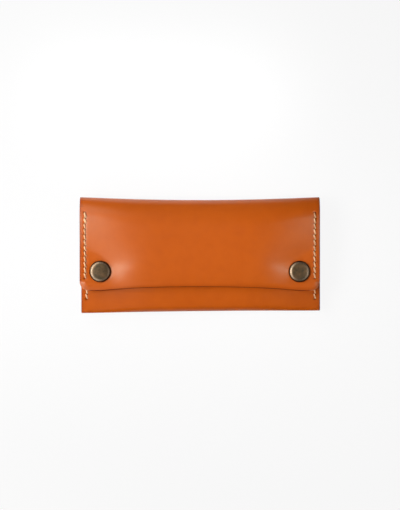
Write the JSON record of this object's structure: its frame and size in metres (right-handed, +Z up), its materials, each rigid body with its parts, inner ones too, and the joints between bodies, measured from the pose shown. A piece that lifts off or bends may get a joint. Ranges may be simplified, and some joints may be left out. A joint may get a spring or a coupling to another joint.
{
  "type": "glasses case",
  "caption": "Soft leather glasses case: a flat sewn pocket with a wide flap that folds over its front and closes on press snaps.",
  "frame": {"origin": "middle of the surface that the case lies on, under the middle of its outline", "axes": "+X along the case to the right as seen from the flap's face, +Y towards the top fold, +Z up out of the flap's face"},
  "size_m": [0.1662, 0.0798, 0.0251],
  "materials": {
    "tan_leather": "smooth vegetable-tanned leather with a soft gloss",
    "lining_leather": "matte split leather",
    "waxed_thread": "waxed twisted thread",
    "antique_brass": "dark antique brass, worn brighter at the rim",
    "spring_steel": "drawn wire"
  },
  "bodies": {
    "pocket": {"pocket_shell": "tan_leather", "left_pocket_thread": "waxed_thread", "right_pocket_thread": "waxed_thread", "left_snap_stud": "antique_brass", "right_snap_stud": "antique_brass", "left_snap_post": "antique_brass", "right_snap_post": "antique_brass"},
    "flap": {"flap_leather": "tan_leather", "flap_lining": "lining_leather", "left_flap_thread": "waxed_thread", "right_flap_thread": "waxed_thread", "left_snap_cap": "antique_brass", "right_snap_cap": "antique_brass", "left_snap_socket": "antique_brass", "right_snap_socket": "antique_brass", "left_snap_spring": "spring_steel", "right_snap_spring": "spring_steel"}
  },
  "joints": [
    {"name": "flap_hinge", "type": "hinge", "parent": "pocket", "child": "flap", "pos_m": [0, 0.0399, 0.0115], "axis": [-1, 0, 0], "range_deg": [0, 165]}
  ]
}
